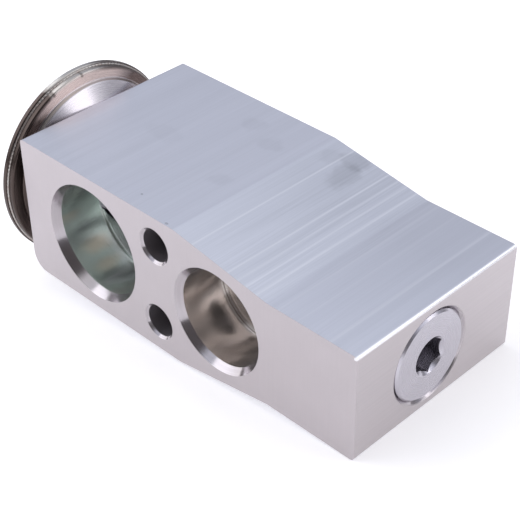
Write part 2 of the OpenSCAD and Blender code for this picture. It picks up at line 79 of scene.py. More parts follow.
def box_mm(node):
    """The lowest and highest corners of a CAD node, in millimetres."""
    return [np.array(corner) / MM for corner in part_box(node)]


def outer_radius(node):
    """Half the height of a CAD node that is round about the valve axis, in millimetres."""
    low, high = box_mm(node)
    return (high[2] - low[2]) / 2


def mount_mm(name):
    """The place of a mount in the frame, in millimetres."""
    return np.array(MOUNTS[name]["pos_m"]) / MM


BODY_LOW, BODY_HIGH = box_mm("valve_body")
AXIS_Y = mount_mm("adjusting_socket")[1]
HEAD_FACE_X, PLUG_FACE_X = BODY_LOW[0], BODY_HIGH[0]
# Gap between faces that rest on each other, and the angle past which a piece's edge stays sharp
REST_GAP, SHARP_ANGLE = 0.02, math.radians(50)
# Most of a noise node's values lie between these
NOISE_LOW, NOISE_HIGH = 0.3, 0.7


# Finishes


class Finish:
    """A node material. A value given to a node may be a number, a colour or another node's socket."""

    def __init__(self, name, roughness=0.3, metallic=1.0, **fixed):
        self.material = bpy.data.materials.new(name)
        self.material.use_nodes = True
        self.tree = self.material.node_tree
        self.shader = self.tree.nodes["Principled BSDF"]
        self.give(self.shader, Roughness=roughness, Metallic=metallic, **fixed)
        metres = self.tree.nodes.new("ShaderNodeTexCoord").outputs["Object"]
        scaled = self.add("ShaderNodeVectorMath", operation="SCALE")
        self.give(scaled, Vector=metres, Scale=1 / MM)
        self.place = scaled.outputs[0]
        split = self.add("ShaderNodeSeparateXYZ")
        self.give(split, Vector=self.place)
        self.x, self.y, self.z = split.outputs

    def add(self, kind, **settings):
        """A new node with its settings."""
        node = self.tree.nodes.new(kind)
        for name, value in settings.items():
            setattr(node, name, value)
        return node

    def give(self, node, **inputs):
        """Sets or links inputs by name, with _ for a space, and returns the node's first output."""
        for name, value in inputs.items():
            self.join(node.inputs[name.replace("_", " ")], value)
        return node.outputs[0] if node.outputs else None

    def join(self, socket, value):
        """Links a socket's value in, or sets it."""
        if isinstance(value, bpy.types.NodeSocket):
            self.tree.links.new(value, socket)
        elif socket.type == "RGBA":
            socket.default_value = (*value[:3], 1.0)
        else:
            socket.default_value = value

    def maths(self, operation, a, b=0.0, clamp=False):
        """One sum of two values."""
        node = self.add("ShaderNodeMath", operation=operation, use_clamp=clamp)
        self.join(node.inputs[0], a)
        self.join(node.inputs[1], b)
        return node.outputs[0]

    def between(self, value, low, high, to_low=0.0, to_high=1.0, smooth=False):
        """A value carried from one range to another and held at its ends."""
        kind = "SMOOTHSTEP" if smooth else "LINEAR"
        node = self.add("ShaderNodeMapRange", interpolation_type=kind)
        return self.give(
            node, Value=value, From_Min=low, From_Max=high, To_Min=to_low, To_Max=to_high
        )

    def spread(self, noise, to_low, to_high):
        """Noise carried to a range."""
        return self.between(noise, NOISE_LOW, NOISE_HIGH, to_low, to_high)

    def less(self, value, other):
        """One value less another."""
        return self.maths("SUBTRACT", value, other)

    def off(self, value, place):
        """How far a value is from a place, to either side."""
        return self.maths("ABSOLUTE", self.less(value, place))

    def both(self, *shares):
        """Where all of some shares hold at once."""
        first, *others = shares
        for other in others:
            first = self.maths("MULTIPLY", first, other)
        return first

    def either(self, *shares):
        """Where one or more of some shares hold."""
        first, *others = shares
        for other in others:
            first = self.maths("MAXIMUM", first, other)
        return first

    def distance(self, a, b):
        """The root of the sum of two squares."""
        return self.maths("SQRT", self.maths("ADD", self.both(a, a), self.both(b, b)))

    def oval(self, across, half_across, along, half_along, bend):
        """Distance from an oval's middle in shares of its half sizes, bent by noise."""
        a = self.maths("DIVIDE", across, half_across)
        b = self.maths("DIVIDE", along, half_along)
        return self.maths("ADD", self.distance(a, b), bend)

    def vector(self, x=0.0, y=0.0, z=0.0):
        """A vector from three values."""
        return self.give(self.add("ShaderNodeCombineXYZ"), X=x, Y=y, Z=z)

    def blend(self, share, first, second):
        """A colour between two, by share."""
        node = self.add("ShaderNodeMix", data_type="RGBA")
        self.join(node.inputs["Factor"], share)
        self.join(node.inputs[6], first)
        self.join(node.inputs[7], second)
        return node.outputs[2]

    def shade(self, colour, factor):
        """A colour made lighter or darker by a factor."""
        node = self.add("ShaderNodeVectorMath", operation="SCALE")
        return self.give(node, Vector=colour, Scale=factor)

    def mix(self, share, first, second):
        """A number between two, by share."""
        node = self.add("ShaderNodeMix", data_type="FLOAT")
        self.join(node.inputs["Factor"], share)
        self.join(node.inputs[2], first)
        self.join(node.inputs[3], second)
        return node.outputs[0]

    def grain(self, across, pitch, length, detail=3.0):
        """Noise drawn out into lines: pitch across them and length along the axes not named."""
        scales = [1 / pitch if axis in across else 1 / length for axis in "XYZ"]
        drawn = self.add("ShaderNodeVectorMath", operation="MULTIPLY")
        self.join(drawn.inputs[0], self.place)
        self.join(drawn.inputs[1], scales)
        node = self.add("ShaderNodeTexNoise")
        return self.give(node, Vector=drawn.outputs[0], Scale=1.0, Detail=detail)

    def from_axis(self, along, centre):
        """Distance from a line along X or Y, and the vector round it at each point."""
        a = self.less(self.y if along == "X" else self.x, centre[0])
        b = self.less(self.z, centre[1])
        minus_a = self.maths("MULTIPLY", a, -1.0)
        round_it = self.vector(0.0, b, minus_a) if along == "X" else self.vector(b, 0.0, minus_a)
        return self.distance(a, b), round_it

    def unit(self, vector):
        """A vector made one long."""
        node = self.add("ShaderNodeVectorMath", operation="NORMALIZE")
        self.join(node.inputs[0], vector)
        return node.outputs[0]

    def rings(self, distance, pitch, detail=2.0):
        """Noise in rings, from a distance in millimetres."""
        node = self.add("ShaderNodeTexNoise", noise_dimensions="1D")
        return self.give(node, W=distance, Scale=1 / pitch, Detail=detail)

    def bump(self, height):
        """Bump from a height in millimetres."""
        node = self.add("ShaderNodeBump")
        self.give(node, Height=height, Distance=MM, Strength=1.0)
        self.give(self.shader, Normal=node.outputs[0])

    def wear(self, **inputs):
        """Sets or links the shader's own inputs, and returns the finish."""
        self.give(self.shader, **inputs)
        return self


# Drawn lines on the extruded skin: place from the head end, half width and strength
DRAWN_LINES = (
    (15.75, 0.25, 0.02),
    (25.42, 0.25, 0.02),
    (38.0, 0.2, 0.10),
    (44.92, 0.2, 0.12),
    (46.67, 0.25, 0.08),
    (48.25, 0.3, 0.08),
    (50.17, 0.35, 0.08),
    (54.25, 0.25, 0.05),
    (57.67, 0.25, 0.03),
    (63.33, 0.2, 0.14),
)
# How much of the lines' colour a line's strength brings, and how high a ridge
LINE_GAIN, LINE_RIDGE = 4.5, 0.03

# Faint marks on the top: place from the head end, depth from the port face, half sizes, strength
SMUDGES = (
    (40.8, 27.4, 2.3, 3.2, 0.12),
    (36.7, 29.2, 1.5, 2.2, 0.06),
    (39.6, 31.4, 2.4, 2.0, 0.11),
    (22.5, 27.3, 2.2, 1.8, 0.05),
    (28.4, 25.3, 2.4, 1.6, 0.05),
    (29.8, 13.2, 1.8, 1.8, 0.05),
    (14.6, 16.6, 3.6, 2.2, 0.03),
    (24.57, 2.92, 0.24, 0.2, 0.35),
    (32.51, 0.45, 0.28, 0.2, 0.3),
)

# Painted reflections in the suction passage, as bright straw-coloured patches: angle round it in
# degrees, depth, half angle, half depth and strength
REFLECTION_PATCHES = (
    (-137, 5.8, 9, 2.6, 1.0),
    (-114, 5.4, 8, 2.4, 0.9),
    (-178, 3.0, 9, 1.8, 0.6),
    (-62, 6.5, 14, 3.0, 0.5),
    (70, 7.0, 16, 3.0, 0.5),
    (-137, 26.0, 9, 2.6, 0.9),
    (-40, 27.5, 12, 2.4, 0.7),
    (110, 25.5, 14, 2.8, 0.6),
)

# Where each finish of the body begins and is whole, as distances in from its surfaces
SKIN_REACH, FACE_REACH, END_REACH = (0.3, 0.15), (0.06, 0.02), (0.2, 0.05)
# The same as distances from the middles of the ports, and to either side of the bolt holes' middles
SUCTION_REACH, OUTLET_REACH, BOLT_REACH = (9.9, 9.8), (8.7, 8.6), (3.2, 3.1)
# Depths over which each port's lead-in cone gives way to its bore, in colour and in roughness
SUCTION_LIP, OUTLET_LIP, LIP_ROUGH = (1.45, 1.55), (1.0, 1.1), (1.0, 1.5)
# Distance over which the skin begins on a rounded corner, where the upper corner's arc begins, and
# shares of its radius off the arc's middle over which its painted highlight, a bright line, begins
CORNER_SOFT, ARC_START, ARC_HIGHLIGHT = 0.1, (0.0, 0.05), (0.75, 0.4)

# Distance from a gland's ledge over which it begins to either side, and the places before it and
# past it, from the ledge, where the painted highlight on its edge begins and ends and the painted
# shade of the bore begins
LEDGE_HALF, EDGE_START, EDGE_END, PAST_LEDGE = (0.1, 0.05), (-0.4, -0.32), (-0.1, -0.18), (0.05, 0.3)
# How far past the body's middle the painted shade in the suction passage fades out
FRONT_FADE = 0.5

# Lengths over which the taper's stronger streaks rise from its start and fall past its end, and the
# streaks' strength off the taper and on it
TAPER_RISE, TAPER_FALL, STREAK_GAINS = 8.0, 4.0, (0.9, 1.9)
# From the bend on, painted shade darkens the skin with depth: half the bend's length, the depths
# and by how much
BEND_HALF, BACK_DEPTHS, BACK_SHADE = 1.0, (2.0, 24.0), 0.12
# The painted reflection by the head, a pale patch on the skin: its length, its strength at the
# head, its middle depth and half width
HEAD_REFLECTION_LENGTH, HEAD_REFLECTION_STRENGTH, HEAD_REFLECTION_DEPTH, HEAD_REFLECTION_HALF = 3.6, 0.55, 12.0, (2.0, 8.5)

# Radii on the power head over which the step round the cone begins and ends, and over which the
# flange, its darkened ring (painted shade by the ports, darker at the back) and the rim begin
STEP_START, STEP_END, FLANGE_START = (14.16, 14.2), (14.45, 14.4), (14.4, 14.6)
DARK_RIM_START, RIM_START = (15.5, 15.9), (15.6, 16.3)
# Distances along Y from the axis, minus towards the ports, over which parts of the head are darkened:
# its rim by the ports and at the back, its edge by the ports, and its flange at the back. By the
# ports this is painted shade; at the back it is only darker.
RIM_BY_PORTS, RIM_AT_BACK, RIM_BACK_STRENGTH = (-5.5, -7.5), (1.0, 5.0), 0.8
EDGE_BY_PORTS, FLANGE_AT_BACK, FLANGE_STRENGTH = (-12.2, -13.6), (5.0, 10.0), 0.68
# Where the step is dim, along Y from the axis, the light left there, and how far noise bends these
STEP_DIM, STEP_SHADE, DARKENING_BEND = (-9.0, -4.0), 0.3, 0.8
# The dark tack marks at the head's rim: angles from the back in degrees, radii over which they
# begin and end, half widths in radians, and strength
TACK_MARKS = (92.0, 113.0, 169.0)
TACK_START, TACK_END, TACK_HALF, TACK_STRENGTH = (15.5, 15.8), (16.25, 16.15), (0.022, 0.008), 0.7
# The head's painted shade on the side of the ports: angles from the back over which it begins, in
# degrees, distances past the weld, and the light left under it
PORT_SIDE_ANGLES, PORT_SIDE_START, PORT_SIDE_SHADE = (112, 126), (0.1, 0.5), 0.68

# The hex socket: depth below the plug's face and radius over which its painted shade begins
SOCKET_DEPTH, SOCKET_REACH = (0.35, 0.6), (3.15, 3.05)


def line_heights(f):
    """Narrow peaks along X: a ramp that rises from 0 to each line's strength and falls again."""
    ramp = f.add("ShaderNodeValToRGB")
    length = PLUG_FACE_X - HEAD_FACE_X
    share = f.between(f.x, HEAD_FACE_X, PLUG_FACE_X)
    stops = ramp.color_ramp.elements
    stops[0].position, stops[1].position = 0.0, 1.0
    for stop in stops:
        stop.color = (0, 0, 0, 1)
    for place, half, strength in DRAWN_LINES:
        for step, height in ((-half, 0.0), (0.0, strength), (half, 0.0)):
            stop = stops.new((place + step) / length)
            stop.color = (height, height, height, 1)
    return f.give(ramp, Fac=share)


def smudge_depth(f):
    """Soft oval marks with an uneven edge, added up."""
    bend = f.spread(f.grain("XYZ", 2.5, 2.5, 4.0), -0.3, 0.3)
    total = 0.0
    for x, y, half_x, half_y, strength in SMUDGES:
        away = f.oval(f.less(f.x, x + HEAD_FACE_X), half_x, f.less(f.y, y), half_y, bend)
        total = f.maths("ADD", total, f.between(away, 0.6, 1.25, strength, 0.0, smooth=True))
    return total


def reflection_patches(f, suction):
    """Painted reflections as soft straw-coloured patches on the suction passage's wall, ovals by angle round
    it and depth.
    """
    angle = f.maths("ARCTAN2", f.less(f.z, suction[2]), f.less(f.x, suction[0]))
    bend = f.spread(f.grain("XYZ", 2.0, 2.0, 2.0), -0.15, 0.15)
    total = 0.0
    for turn, depth, half_turn, half_depth, strength in REFLECTION_PATCHES:
        turned = f.less(angle, math.radians(turn))
        away = f.oval(turned, math.radians(half_turn), f.less(f.y, depth), half_depth, bend)
        total = f.either(total, f.between(away, 0.2, 1.5, strength, 0.0, smooth=True))
    return total


def block_places(f, look):
    """Where each surface of the body lies, as shares worked out from place alone.

    The skin is within SKIN_REACH of the extruded profile, which is thick to either side of Z = 0 up
    to the taper and falls evenly to thin along it. The lower corners at both ends are rounded, and
    so is the upper one at the plug, whose arc is told apart for its bright line of painted highlight.
    """
    at = SimpleNamespace()
    thick, thin = BODY_HIGH[2], look.thin_half
    at.taper_x, at.thin_x = HEAD_FACE_X + look.thick_length, HEAD_FACE_X + look.taper_end
    half = f.between(f.x, at.taper_x, at.thin_x, thick, thin)
    skin = f.between(f.less(half, f.maths("ABSOLUTE", f.z)), *SKIN_REACH)
    corners = (
        (look.foot_radius, f.less(f.x, HEAD_FACE_X), thick),
        (look.corner_radius, f.less(PLUG_FACE_X, f.x), thin),
    )
    for radius, from_end, low in corners:
        near_end = f.between(from_end, radius, radius - CORNER_SOFT)
        near_low = f.between(f.maths("ADD", f.z, low), radius, radius - CORNER_SOFT)
        skin = f.either(skin, f.both(near_end, near_low))

    past_x = f.less(f.x, PLUG_FACE_X - look.corner_radius)
    past_z = f.less(f.z, thin - look.corner_radius)
    arc = f.both(f.between(past_x, *ARC_START), f.between(past_z, *ARC_START))
    line = f.between(f.off(past_x, past_z), *(look.corner_radius * share for share in ARC_HIGHLIGHT))
    at.bright_arc = f.both(arc, line)

    at.middle_y = BODY_HIGH[1] / 2
    at.depth = f.less(at.middle_y, f.off(f.y, at.middle_y))
    at.face = f.between(at.depth, *FACE_REACH)
    middle_x = (HEAD_FACE_X + PLUG_FACE_X) / 2
    at.end = f.between(f.less(PLUG_FACE_X - middle_x, f.off(f.x, middle_x)), *END_REACH)
    at.skin = f.both(f.either(skin, arc), f.less(1.0, at.face), f.less(1.0, at.end))

    suction, outlet = mount_mm("suction_port"), mount_mm("liquid_outlet")
    suction_r, at.suction_round = f.from_axis("Y", (suction[0], suction[2]))
    outlet_r, at.outlet_round = f.from_axis("Y", (outlet[0], outlet[2]))
    at.suction = f.between(suction_r, *SUCTION_REACH)
    at.outlet = f.between(outlet_r, *OUTLET_REACH)
    at.bolts = f.between(f.maths("ABSOLUTE", f.x), *BOLT_REACH)
    at.suction_wall = f.both(at.suction, f.between(at.depth, *SUCTION_LIP))
    at.outlet_wall = f.both(at.outlet, f.between(at.depth, *OUTLET_LIP))
    # The straw patches are painted reflections, bright spots on the suction passage's wall
    at.straw = f.both(reflection_patches(f, suction), at.suction_wall)
    return at


def skin_colour(f, look, at, fine, lines):
    """The drawn skin: fine and broad streaks along the extrusion, bright lines, smudges, painted shade past
    the bend and a painted reflection by the head.
    """
    broad = f.grain("XZ", 2.2, 60.0, 2.0)
    on_taper = f.both(
        f.between(f.x, at.taper_x, at.taper_x + TAPER_RISE),
        f.between(f.x, at.thin_x + TAPER_FALL, at.thin_x),
    )
    streaks = f.both(f.spread(fine, -0.03, 0.03), f.mix(on_taper, *STREAK_GAINS))
    light = f.maths("ADD", f.maths("ADD", 1.0, streaks), f.spread(broad, -0.025, 0.025))
    light = f.less(light, smudge_depth(f))
    # Painted shade: past the bend the skin darkens towards the back
    past_bend = f.between(f.x, at.taper_x - BEND_HALF, at.taper_x + BEND_HALF)
    light = f.less(light, f.both(past_bend, f.between(f.y, *BACK_DEPTHS, 0.0, BACK_SHADE)))
    colour = f.shade(tuple(look.skin_colour), light)
    colour = f.blend(f.maths("MULTIPLY", lines, LINE_GAIN, clamp=True), colour, tuple(look.line_colour))
    # Painted reflection: a pale patch on the skin by the head
    by_head = f.between(f.x, HEAD_FACE_X, HEAD_FACE_X + HEAD_REFLECTION_LENGTH, HEAD_REFLECTION_STRENGTH, 0.0)
    by_depth = f.between(f.off(f.y, HEAD_REFLECTION_DEPTH), *HEAD_REFLECTION_HALF, 1.0, 0.0, smooth=True)
    return f.blend(f.both(by_head, by_depth), colour, tuple(look.head_reflection_colour))


def bore_colour(f, look, at, turned_rings):
    """The turned bores: each port's own tint below its lead-in cone, painted reflections in straw-coloured
    patches, and ledges.

    Each gland ends in a ledge darkened with painted shade, with a painted highlight on the edge before
    it, and painted shade past it, in the suction passage as far as the middle of the body.
    """
    colour = f.blend(at.suction_wall, tuple(look.bore_colour), tuple(look.suction_colour))
    colour = f.blend(at.outlet_wall, colour, tuple(look.outlet_colour))
    # Painted reflections: bright straw-coloured patches on the suction passage's wall
    colour = f.blend(at.straw, colour, tuple(look.patch_reflection_colour))
    colour = f.shade(colour, f.spread(turned_rings, 0.93, 1.05))
    front_half = f.between(f.y, at.middle_y + FRONT_FADE, at.middle_y)
    glands = (
        (f.both(at.suction, front_half), look.suction_ledge, look.passage_shade),
        (at.outlet, look.outlet_ledge, look.ledge_shade),
    )
    # Painted shade on each ledge and past it, and a painted highlight on the edge before it
    for inside, ledge, shade_past in glands:
        from_ledge = f.less(f.y, ledge)
        on_ledge = f.between(f.maths("ABSOLUTE", from_ledge), *LEDGE_HALF)
        edge = f.both(f.between(from_ledge, *EDGE_START), f.between(from_ledge, *EDGE_END))
        past = f.between(from_ledge, *PAST_LEDGE)
        for share, factor in ((on_ledge, look.ledge_shade), (edge, look.edge_highlight), (past, shade_past)):
            colour = f.shade(colour, f.mix(f.both(inside, share), 1.0, factor))
    return colour


def block_aluminium(look):
    """The body's finish: drawn skin, milled port faces and ends, and turned bores, told apart by place."""
    f = Finish("block_aluminium", Anisotropic=0.55, Anisotropic_Rotation=0.25)
    at = block_places(f, look)
    fine = f.grain("XZ", 0.25, 14.0, 4.0)
    lines = line_heights(f)
    cloudy = f.grain("XYZ", 5.0, 5.0, 3.0)
    arcs = f.grain("X", 0.4, 9.0, 3.0)
    turned_rings = f.rings(f.y, 0.18)

    milled_light = f.both(f.spread(cloudy, 0.985, 1.015), f.spread(arcs, 0.99, 1.01))
    end_light = f.spread(f.grain("Z", 0.3, 20.0, 3.0), 0.975, 1.025)
    colour = bore_colour(f, look, at, turned_rings)
    colour = f.blend(at.end, colour, f.shade(tuple(look.end_colour), end_light))
    colour = f.blend(at.face, colour, f.shade(tuple(look.milled_colour), milled_light))
    colour = f.blend(at.skin, colour, skin_colour(f, look, at, fine, lines))
    # Painted highlight: the bright line on the upper corner's arc at the plug
    colour = f.blend(at.bright_arc, colour, tuple(look.corner_highlight_colour))

    skin_rough = f.spread(fine, look.skin_roughness - 0.04, look.skin_roughness + 0.05)
    rough = f.mix(at.outlet, look.bore_roughness, look.outlet_roughness)
    rough = f.mix(at.suction, rough, look.suction_roughness)
    rough = f.mix(f.between(at.depth, *LIP_ROUGH), look.lip_roughness, rough)
    for milled in (at.end, at.face):
        rough = f.mix(milled, rough, look.milled_roughness)
    rough = f.mix(at.skin, rough, skin_rough)

    _, axis_round = f.from_axis("X", (AXIS_Y, 0.0))
    bolt_up = MOUNTS["mounting_holes"]["dims"]["spacing_y_mm"] / 2
    above_bolt = f.less(f.maths("ABSOLUTE", f.z), bolt_up)
    bolt_round = f.vector(above_bolt, 0.0, f.maths("MULTIPLY", f.x, -1.0))
    tangent = f.blend(at.suction, axis_round, at.suction_round)
    tangent = f.blend(at.outlet, tangent, at.outlet_round)
    tangent = f.blend(at.bolts, tangent, bolt_round)
    tangent = f.blend(at.end, tangent, (0.0, 1.0, 0.0))
    tangent = f.blend(at.face, tangent, (1.0, 0.0, 0.0))
    tangent = f.blend(at.skin, tangent, (0.0, 1.0, 0.0))

    skin_height = f.maths("ADD", f.maths("MULTIPLY", lines, LINE_RIDGE), f.maths("MULTIPLY", fine, 0.004))
    height = f.mix(at.face, f.maths("MULTIPLY", turned_rings, 0.002), f.maths("MULTIPLY", arcs, 0.001))
    f.bump(f.mix(at.skin, height, skin_height))
    bore_metal = f.mix(at.bolts, f.mix(at.straw, look.bore_metal, look.patch_reflection_metal), look.bolt_metal)
    metal = f.mix(f.either(at.skin, at.face, at.end), bore_metal, 1.0)
    return f.wear(Base_Color=colour, Metallic=metal, Roughness=rough, Tangent=f.unit(tangent))


def turned_metal(name, colour, roughness, spread=0.06):
    """A lathe finish on the valve axis: rings by distance from the axis and by place along it."""
    f = Finish(name, Anisotropic=0.6, Anisotropic_Rotation=0.25)
    f.radius, round_it = f.from_axis("X", (AXIS_Y, 0.0))
    rings = f.rings(f.maths("ADD", f.radius, f.x), 0.15)
    cloud = f.spread(f.grain("XYZ", 3.0, 3.0), 0.98, 1.02)
    f.colour = f.shade(colour, f.both(f.spread(rings, 1 - spread, 1 + spread), cloud))
    f.bump(f.maths("MULTIPLY", rings, 0.0015))
    rough = f.spread(rings, roughness - 0.03, roughness + 0.04)
    return f.wear(Base_Color=f.colour, Roughness=rough, Tangent=f.unit(round_it))


def plug_aluminium(look):
    """The turned plug, with painted shade darkening its hex socket."""
    f = turned_metal("plug_aluminium", tuple(look.plug_colour), look.plug_roughness, spread=0.03)
    below_face = f.between(f.less(box_mm("adjusting_plug")[1][0], f.x), *SOCKET_DEPTH)
    # Painted shade: the hex socket darker below the plug's face
    in_socket = f.both(below_face, f.between(f.radius, *SOCKET_REACH))
    return f.wear(Base_Color=f.blend(in_socket, f.colour, f.shade(f.colour, look.socket_shade)))


def head_darkening(f, radius, side, angle):
    """Where the head is darkened: both sides of its rim, its edge by the ports, the back of its flange,
    and the tack marks, which are given apart. By the ports the darkening is painted shade; at the back
    the rim and flange are only darker.

    The first three are told apart by the distance along Y from the axis, which noise makes cloudy.
    """
    bend = f.spread(f.grain("XYZ", 2.5, 2.5), -DARKENING_BEND, DARKENING_BEND)
    clouded = f.maths("ADD", side, bend)
    rim_at_back = f.between(clouded, *RIM_AT_BACK, 0.0, RIM_BACK_STRENGTH)
    rim_sides = f.either(f.between(clouded, *RIM_BY_PORTS), rim_at_back)
    # The rim: painted shade by the ports, only darker at the back
    dark_rim = f.both(f.between(radius, *DARK_RIM_START), rim_sides)
    # The edge by the ports: painted shade
    shaded_edge = f.between(clouded, *EDGE_BY_PORTS, smooth=True)
    # The flange at the back: only darker
    at_back = f.between(clouded, *FLANGE_AT_BACK, 0.0, FLANGE_STRENGTH, smooth=True)
    dark_flange = f.both(f.between(radius, *FLANGE_START), at_back)
    tacks = []
    for place in TACK_MARKS:
        across = f.between(f.off(angle, math.radians(place)), *TACK_HALF)
        down = f.both(f.between(radius, *TACK_START), f.between(radius, *TACK_END))
        tacks.append(f.maths("MULTIPLY", f.both(across, down), TACK_STRENGTH))
    return f.either(dark_rim, shaded_edge, dark_flange), tacks


def head_steel(look):
    """Pressed steel with a turned face: rings, a straw tint on the flange, painted shade by the ports, darker
    patches at the back and tack marks.
    """
    f = Finish("head_steel", Anisotropic=0.65, Anisotropic_Rotation=0.25)
    radius, round_it = f.from_axis("X", (AXIS_Y, 0.0))
    rings = f.rings(f.less(radius, f.x), 0.2)
    side = f.less(f.y, AXIS_Y)
    angle = f.maths("ARCTAN2", f.z, side)
    port_side = f.between(
        f.maths("ABSOLUTE", angle), *(math.radians(turn) for turn in PORT_SIDE_ANGLES), smooth=True
    )
    past_weld = f.between(f.less(f.x, box_mm("head_base")[0][0]), *PORT_SIDE_START)
    flange = f.between(radius, *FLANGE_START, smooth=True)
    rim = f.between(radius, *RIM_START, smooth=True)
    step = f.both(f.between(radius, *STEP_START), f.between(radius, *STEP_END))

    colour = f.blend(flange, tuple(look.boss_colour), tuple(look.flange_colour))
    # Painted shade on the side of the ports, past the weld
    colour = f.shade(colour, f.mix(f.both(port_side, past_weld), 1.0, PORT_SIDE_SHADE))
    colour = f.blend(rim, colour, tuple(look.rim_colour))
    step_light = f.between(side, *STEP_DIM, STEP_SHADE, 1.0)
    colour = f.blend(step, colour, f.shade(tuple(look.wall_colour), step_light))
    # Painted shade on the rim and edge by the ports, darker patches at the back, and the tack marks
    darkening, tacks = head_darkening(f, radius, side, angle)
    for mark in (darkening, *tacks):
        colour = f.blend(mark, colour, tuple(look.shade_and_tack_colour))
    f.bump(f.maths("MULTIPLY", rings, 0.0002))
    return f.wear(
        Base_Color=f.shade(colour, f.spread(rings, 0.97, 1.02)),
        Roughness=f.spread(rings, look.head_roughness - 0.01, look.head_roughness + 0.02),
        Tangent=f.unit(round_it),
    )


def seal_rubber():
    """Moulded black rubber with a fine matt grain and a little dust."""
    f = Finish("seal_rubber", metallic=0.0, Specular_IOR_Level=0.35)
    grain = f.grain("XYZ", 0.08, 0.08, 4.0)
    dust = f.between(f.grain("XYZ", 1.2, 1.2), 0.45, 0.75)
    colour = f.blend(dust, (0.012, 0.012, 0.013), (0.035, 0.034, 0.032))
    f.bump(f.maths("MULTIPLY", grain, 0.004))
    return f.wear(Base_Color=colour, Roughness=f.spread(grain, 0.5, 0.72))


def wire_steel():
    """Drawn wire and thin sheet: grey, with a fine grain in its colour and gloss."""
    f = Finish("spring_steel")
    grain = f.grain("XYZ", 0.12, 0.12, 4.0)
    colour = f.shade((0.42, 0.43, 0.46), f.spread(grain, 0.85, 1.12))
    f.bump(f.maths("MULTIPLY", grain, 0.002))
    return f.wear(Base_Color=colour, Roughness=f.spread(grain, 0.24, 0.4))


def weld_steel(look):
    """Weld bead: bright steel with patches of straw heat tint."""
    f = Finish("weld_steel")
    patches = f.grain("XYZ", 1.1, 1.1, 3.0)
    colour = f.blend(f.between(patches, 0.4, 0.65), tuple(look.rim_colour), (0.42, 0.36, 0.33))
    return f.wear(Base_Color=colour, Roughness=f.spread(patches, 0.22, 0.4))


def paint(finish, *nodes):
    """Puts one finish on CAD nodes, given by name, or on pieces."""
    for node in nodes:
        mesh = (NODES[node] if isinstance(node, str) else node).data
        mesh.materials.clear()
        mesh.materials.append(finish.material)


# Surfaces worked out on grids

# How far the diaphragm stays flat past the edge of its stop
FLAT_PAST_STOP = 0.2


def add_surface(name, points, wrap_rows=False, caps=False):
    """A piece from a grid of points, rows along a path and columns round it.

    Each four neighbours make a face and the last column joins the first. wrap_rows joins the last
    row to the first, and caps close the first and last rows with a fan to their middles.
    """
    rows, sides = points.shape[:2]
    spots = points.reshape(-1, 3)
    row = np.arange(rows if wrap_rows else rows - 1)[:, None]
    side = np.arange(sides)[None, :]
    low, high = row * sides, (row + 1) % rows * sides
    right = (side + 1) % sides
    quads = np.stack([low + side, low + right, high + right, high + side], -1).reshape(-1, 4)
    faces = quads.tolist()
    if caps:
        middles = np.stack([points[0].mean(0), points[-1].mean(0)])
        spots = np.concatenate([spots, middles])
        first, last = rows * sides, rows * sides + 1
        ring = np.arange(sides)
        after = (ring + 1) % sides
        end = (rows - 1) * sides
        faces += np.stack([after, ring, np.full(sides, first)], -1).tolist()
        faces += np.stack([end + ring, end + after, np.full(sides, last)], -1).tolist()
    mesh = bpy.data.meshes.new(name)
    mesh.from_pydata((spots * MM).tolist(), [], faces)
    mesh.shade_smooth()
    mesh.set_sharp_from_angle(angle=SHARP_ANGLE)
    piece = bpy.data.objects.new(name, mesh)
    bpy.context.scene.collection.objects.link(piece)
    return piece


def weld_points(radius, place, size, ripples, sides=12, per_ripple=6, trough=0.82):
    """A rippled ring: at angle a round the valve axis, a circle whose radius follows the ripple.

    The ripple is a row of rounded steps, one for each tack of the bead: from the trough's share of
    the full size up to all of it and back, as sin(pi * t) ** 0.7 over each step.
    """
    a = np.linspace(0, 2 * np.pi, ripples * per_ripple, endpoint=False)[:, None]
    s = np.linspace(0, 2 * np.pi, sides, endpoint=False)[None, :]
    t = (a * ripples / (2 * np.pi)) % 1
    thick = size * (trough + (1 - trough) * np.sin(np.pi * t) ** 0.7)
    r = radius + thick * np.cos(s)
    return np.stack([place + thick * np.sin(s), AXIS_Y + r * np.cos(a), r * np.sin(a)], -1)


def spring_points(wire, middle_r, turns, start, length, first, last, closed=0.75, per_turn=64, sides=20):
    """Part of a coil spring, from turn first to turn last of all its turns.

    After n turns the wire's middle lies at angle 2 * pi * n round the valve axis. Its closed end
    turns rise by one wire a turn, and between them the place rises evenly. The wire's circle is set
    square to the path.
    """
    n = np.linspace(first, last, int((last - first) * per_turn) + 1)
    travel = length - wire
    knots = [0, closed, turns - closed, turns]
    rise = np.interp(n, knots, [0, wire * closed, travel - wire * closed, travel])
    a = 2 * np.pi * n
    path = np.stack([start + wire / 2 + rise, middle_r * np.sin(a), middle_r * np.cos(a)], -1)
    along = np.gradient(path, axis=0)
    along /= np.linalg.norm(along, axis=1, keepdims=True)
    outward = np.stack([np.zeros_like(a), np.sin(a), np.cos(a)], -1)
    side = np.cross(along, outward)
    s = np.linspace(0, 2 * np.pi, sides, endpoint=False)
    ring = outward[:, None] * np.cos(s)[None, :, None] + side[:, None] * np.sin(s)[None, :, None]
    return path[:, None] + ring * wire / 2 + np.array([0.0, AXIS_Y, 0.0])


